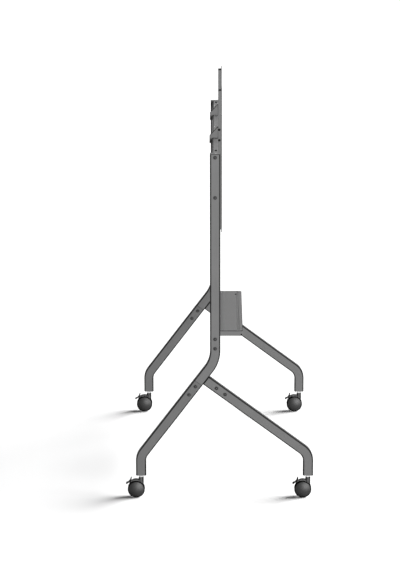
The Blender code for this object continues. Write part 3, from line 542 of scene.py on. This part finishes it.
# Painted shade: this coat darkens the corners along the bars' rear face.
bar_paint = powder_coat("bar_powder_coat", FRAME_TONE, "-X")
for bar in BARS:
    softened([bar], ["stand"], BAR_EDGE, bar_paint)
dress([f"{bar}_block_{side}" for bar in BARS for side in SIDES]
      + [f"rear_joiner_{side}" for side in SIDES], zinc)

screw_black = dark_steel("black_steel", 0.002, 0.008)
bar_screw = button_screw("bar_screw_shape", radius=0.0056, height=0.0050, socket=0.0036,
                         material=screw_black)
_, bar_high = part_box("top_bar")
for side, sign in SIDES.items():
    spot = Vector((middle_of("top_bar").x + BAR_SCREW_FORWARD,
                   sign * (bar_high.y - BAR_SCREW_INSET), bar_high.z))
    copy(bar_screw, f"bar_screw_{side}", Matrix.Translation(spot), "stand")
discard(bar_screw)


# Casters. Each has a zinc plated stem with a hexagon collar, a dark moulded hood that swivels on
# it, a steel axle and two dark moulded wheels with domed faces and slightly softer treads.

STEM_EDGE, HOOD_EDGE = 0.0005, 0.0008
# Painted shade: all of a hood but its flat sides is darkened almost to black.
HOOD_PAINTED_SHADE = (0.8, 0.06), (0.96, 1)
WHEEL_RADIUS, WHEEL_FACE = 0.0375, 0.017    # the face's middle stands so far out
TREAD_WIDTH, TREAD_ROUNDING = 0.0060, 0.0014
TREAD_LIP, TREAD_LIP_SLOPE = 0.00126, 0.0004    # how far it stands out round the dome, and leans
WHEEL_BORE = 0.0034
DOME_RADIUS, DOME_EDGE = 0.0340, 0.0006
DOME_SEAT = 0.0004              # how deep the dome sits in the tread
DOME_PLAY, DOME_LIFT = 0.0003, 0.0001
WHEEL_STEPS, DOME_STEPS, ROUNDING_STEPS = 64, 15, 4


def tread_rubber():
    """Dark tread: matt, with a trace of floor dust and fine turning marks."""
    rubber = Finish("tread_rubber", Specular_IOR_Level=0.01)
    dust = rubber.noise(140, 3)
    return rubber.done(rubber.tones(dust, 0.001, 0.004), 0.6 + dust * 0.2,
                       rubber.relief(rubber.noise(900, 2), 0.00008, 0.4))


def dome_plastic():
    """Wheel face: satin dark plastic that catches a broad highlight."""
    face = Finish("dome_plastic", Specular_IOR_Level=0.3)
    drift = face.noise(60, 2)
    return face.done(face.tones(drift, 0.006, 0.010), 0.5 + drift * 0.1,
                     face.relief(face.noise(1500, 1), 0.00003, 0.5))


dress([f"caster_axle_{foot}" for foot in FEET], zinc)
softened([f"caster_stem_{foot}" for foot in FEET], ["stand"] * 4, STEM_EDGE, zinc)
hoods = softened([f"caster_hood_{foot}" for foot in FEET], [f"swivel_{foot}" for foot in FEET],
                 HOOD_EDGE,
                 moulded_plastic("hood_plastic", tone=0.085, gloss=0.45, edges=HOOD_PAINTED_SHADE))

rounding_middle = WHEEL_RADIUS - TREAD_ROUNDING
dome_seat = TREAD_WIDTH - DOME_SEAT
tread_shape = turned("tread_shape", [
    (WHEEL_BORE, 0), (rounding_middle, 0),
    *curve(TREAD_ROUNDING, -80, 0, ROUNDING_STEPS, rounding_middle, TREAD_ROUNDING),
    *curve(TREAD_ROUNDING, 0, 80, ROUNDING_STEPS, rounding_middle, TREAD_WIDTH),
    (DOME_RADIUS + DOME_PLAY + TREAD_LIP_SLOPE, TREAD_WIDTH + TREAD_LIP),
    (DOME_RADIUS + DOME_PLAY, dome_seat), (WHEEL_BORE, dome_seat)], WHEEL_STEPS, tread_rubber())
dome_base = dome_seat + DOME_LIFT
dome_rise = WHEEL_FACE - dome_base - DOME_EDGE
dome_curve = (DOME_RADIUS ** 2 + dome_rise ** 2) / (2 * dome_rise)
dome_profile = [(0, dome_base), (DOME_RADIUS, dome_base)]
for step in range(DOME_STEPS):
    radius = DOME_RADIUS * (1 - step / DOME_STEPS)
    dome_profile.append((radius, WHEEL_FACE - dome_curve + sqrt(dome_curve ** 2 - radius ** 2)))
dome_profile.append((0, WHEEL_FACE))
dome_shape = turned("dome_shape", dome_profile, WHEEL_STEPS, dome_plastic())
domes = []
for foot in FEET:
    for side, sign in SIDES.items():
        body = f"wheel_{foot}_{side}"
        node = f"caster_wheel_{foot}_{side}"
        low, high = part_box(node)
        inner = low.y if sign > 0 else high.y
        place = sideways(Vector((middle_of(node).x, inner, middle_of(node).z)), sign)
        tread = copy(tread_shape, f"wheel_tread_{foot}_{side}", place, body)
        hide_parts(node)
        domes.append(copy(dome_shape, f"wheel_dome_{foot}_{side}", place, body))
discard(tread_shape, dome_shape)


# Brake pedals. Black moulded levers that pivot in the hood: a wing to step on and a tab that
# lets the brake off.

PEDAL_EDGE = 0.0006
softened([f"brake_pedal_{foot}" for foot in FEET], [f"brake_{foot}" for foot in FEET],
         PEDAL_EDGE, moulded_plastic("pedal_plastic", tone=0.006, gloss=0.5))


# Display rails. Folded steel channels, open to the rear, with long slots for the display's
# screws and black plugs in their ends. Each hangs on the top bar by a folded hook, held by two
# black screws in each flange.

RAIL_TONE = 0.19
RAIL_EDGE, HOOK_EDGE = 0.0004, 0.0005
# Painted shade: all of a hook but its flat cheeks is darkened to this share of the tone.
HOOK_PAINTED_SHADE = (0.9, 0.13), (0.99, 1)
RAIL_SCREWS = 1.580, 1.533      # height of each
RAIL_SCREW_BACK = 0.0028        # behind the rail's middle
RAIL_BODIES = [f"{side}_rail" for side in SIDES]
# The rails' coat darkens their corners with painted shade.
softened([f"display_rail_{side}" for side in SIDES], RAIL_BODIES, RAIL_EDGE,
         powder_coat("rail_powder_coat", RAIL_TONE, "X"))
softened([f"rail_hook_{side}" for side in SIDES], RAIL_BODIES, HOOK_EDGE,
         powder_coat("hook_powder_coat", RAIL_TONE, "Y", HOOK_PAINTED_SHADE))
for end in ("top", "bottom"):
    softened([f"rail_plug_{end}_{side}" for side in SIDES], RAIL_BODIES,
             PLUG_EDGE, black_plastic)
rail_screw = button_screw("rail_screw_shape", radius=0.0053, height=0.0028, socket=0.0032,
                          material=screw_black)
for side in SIDES:
    rail = f"display_rail_{side}"
    low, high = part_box(rail)
    for which, height in zip(("high", "low"), RAIL_SCREWS):
        for flange, out, y in (("left", 1, high.y), ("right", -1, low.y)):
            spot = Vector((middle_of(rail).x - RAIL_SCREW_BACK, y, height))
            copy(rail_screw, f"rail_screw_{side}_{which}_{flange}", sideways(spot, out),
                 f"{side}_rail")
discard(rail_screw)


# Locking screws. A black steel screw through the back of each hook keeps the rail from lifting
# off the bar.

dress([f"lock_screw_{side}" for side in SIDES], screw_black)


# Tray. Pressed steel with a pen groove, in the same powder coat, on two folded brackets. Small
# black screws hold it, one on top and one in each end.

TRAY_TONE = 0.20
TRAY_EDGE = 0.0005
TRAY_SCREW_X, TRAY_SCREW_INSET = 0.077, 0.065
END_SCREW_INSET, END_SCREW_DROP = 0.006, 0.018
# The tray's coat darkens the corners of the tray and its brackets with painted shade.
tray_paint = powder_coat("tray_powder_coat", TRAY_TONE, "Z")
softened(["tray"], ["stand"], TRAY_EDGE, tray_paint)
softened([f"tray_bracket_{side}" for side in SIDES], ["stand"] * 2, TRAY_EDGE,
         tray_paint)
_, tray_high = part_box("tray")
top_screw = button_screw("tray_screw_shape", radius=0.0048, height=0.0028, socket=0.0026,
                         material=screw_black)
end_screw = button_screw("tray_end_screw_shape", radius=0.0036, height=0.0022, socket=0.0020,
                         material=screw_black)
spot = Vector((TRAY_SCREW_X, tray_high.y - TRAY_SCREW_INSET, tray_high.z))
copy(top_screw, "tray_screw_top", Matrix.Translation(spot), "stand")
for side, sign in SIDES.items():
    spot = Vector((tray_high.x - END_SCREW_INSET, sign * tray_high.y,
                   tray_high.z - END_SCREW_DROP))
    copy(end_screw, f"tray_screw_end_{side}", sideways(spot, sign), "stand")
discard(top_screw, end_screw)


# Floor, lamps and camera. The floor is pale and shows white where it is lit, with the soft
# shadows of the casters on it.

FLOOR_SIZE, FLOOR_DROP = 60, 0.0001
FLOOR_TONE, SEEN_FLOOR_TONE, FLOOR_GLOW = 0.2, 0.9, 0.05
AMBIENT = 0.05
CAMERA_PLACE = (-0.0046, -10.852, 3.639)
CAMERA_DIP = radians(14.655)    # below the level
CAMERA_SENSOR, CAMERA_LENS, CAMERA_SHIFT, CAMERA_REACH = 36, 154.75, -0.0322, 100


def empty_nodes(owner):
    """The node tree of a material or a world, with nothing in it."""
    made = Nodes(owner)
    made.tree.nodes.clear()
    return made


def seen(tree):
    """1 for the camera's rays, also off shiny and through clear surfaces, and 0 for the rest."""
    camera_ray, glossy_ray, clear_ray = [
        tree.node("ShaderNodeLightPath", {}, {}, f"Is {kind} Ray")
        for kind in ("Camera", "Glossy", "Transmission")]
    return camera_ray.math("MAXIMUM", camera_ray, glossy_ray.math("MAXIMUM", glossy_ray, clear_ray))


def pale_floor():
    """Pale floor that the camera, and shiny surfaces, see as white except in shadow."""
    surface = bpy.data.materials.new("pale_floor")
    tree = empty_nodes(surface)
    plain = tree.node("ShaderNodeBsdfDiffuse", {}, {"Color": grey(FLOOR_TONE)})
    bright = tree.node("ShaderNodeBsdfDiffuse", {}, {"Color": grey(SEEN_FLOOR_TONE)})
    glow = tree.node("ShaderNodeEmission", {}, {"Strength": FLOOR_GLOW})
    lit = tree.node("ShaderNodeAddShader", {}, {0: bright, 1: glow})
    shade = tree.node("ShaderNodeMixShader", {}, {0: seen(tree), 1: plain, 2: lit})
    tree.node("ShaderNodeOutputMaterial", {}, {"Surface": shade})
    return surface


def lamp(name, azimuth, elevation, level, spread):
    """A soft, distant lamp, at the level that a white card facing it would show."""
    data = bpy.data.lights.new(name, "SUN")
    data.energy = level * pi
    data.angle = radians(spread)
    made = bpy.data.objects.new(name, data)
    bpy.context.scene.collection.objects.link(made)
    a, e = radians(azimuth), radians(elevation)
    back = Vector((sin(a) * cos(e), -cos(a) * cos(e), sin(e)))
    made.rotation_mode = "QUATERNION"
    made.rotation_quaternion = (-back).to_track_quat("-Z", "Y")
    return made


def only(name, lamps, pieces, state):
    """Keep some lamps to, or off, some pieces."""
    group = bpy.data.collections.new(name)
    for item in pieces:
        group.objects.link(item)
    for link in group.collection_objects:
        link.light_linking.link_state = state
    for item in lamps:
        item.light_linking.receiver_collection = group


bpy.ops.object.select_all(action="DESELECT")
bpy.ops.mesh.primitive_plane_add(size=FLOOR_SIZE, location=(0, 0, -FLOOR_DROP))
floor = bpy.context.object
floor.name = "floor"
floor.data.materials.append(pale_floor())

world = bpy.data.worlds.new("studio")
bpy.context.scene.world = world
room = empty_nodes(world)
background = room.node("ShaderNodeBackground", {},
                       {"Strength": seen(room) * (1.0 - AMBIENT) + AMBIENT})
room.node("ShaderNodeOutputWorld", {}, {"Surface": background})

key_lamp = lamp("key_lamp", azimuth=30, elevation=7, level=1.34, spread=34)
fill_lamps = [lamp("back_lamp", azimuth=184, elevation=5, level=0.6, spread=20),
              lamp("left_lamp", azimuth=262, elevation=8, level=0.5, spread=30),
              lamp("top_lamp", azimuth=180, elevation=58, level=0.9, spread=50)]
for item in fill_lamps:
    item.visible_glossy = False
only("not_the_floor", [key_lamp, *fill_lamps], [floor], "EXCLUDE")
floor_lamp = lamp("floor_lamp", azimuth=106, elevation=36, level=2.2, spread=42)
only("the_floor", [floor_lamp], [floor], "INCLUDE")
card_lamp = lamp("card_lamp", azimuth=30, elevation=14, level=3.2, spread=56)
card_lamp.visible_diffuse = False
only("casters_only", [card_lamp], hoods + domes, "INCLUDE")

camera_data = bpy.data.cameras.new("camera")
camera = bpy.data.objects.new("camera", camera_data)
bpy.context.scene.collection.objects.link(camera)
camera.location = CAMERA_PLACE
camera.rotation_euler = (pi / 2 - CAMERA_DIP, 0, 0)
camera_data.sensor_width = CAMERA_SENSOR
camera_data.lens = CAMERA_LENS
camera_data.shift_x = CAMERA_SHIFT
camera_data.clip_end = CAMERA_REACH
bpy.context.scene.camera = camera
bpy.context.scene.view_settings.view_transform = "Standard"
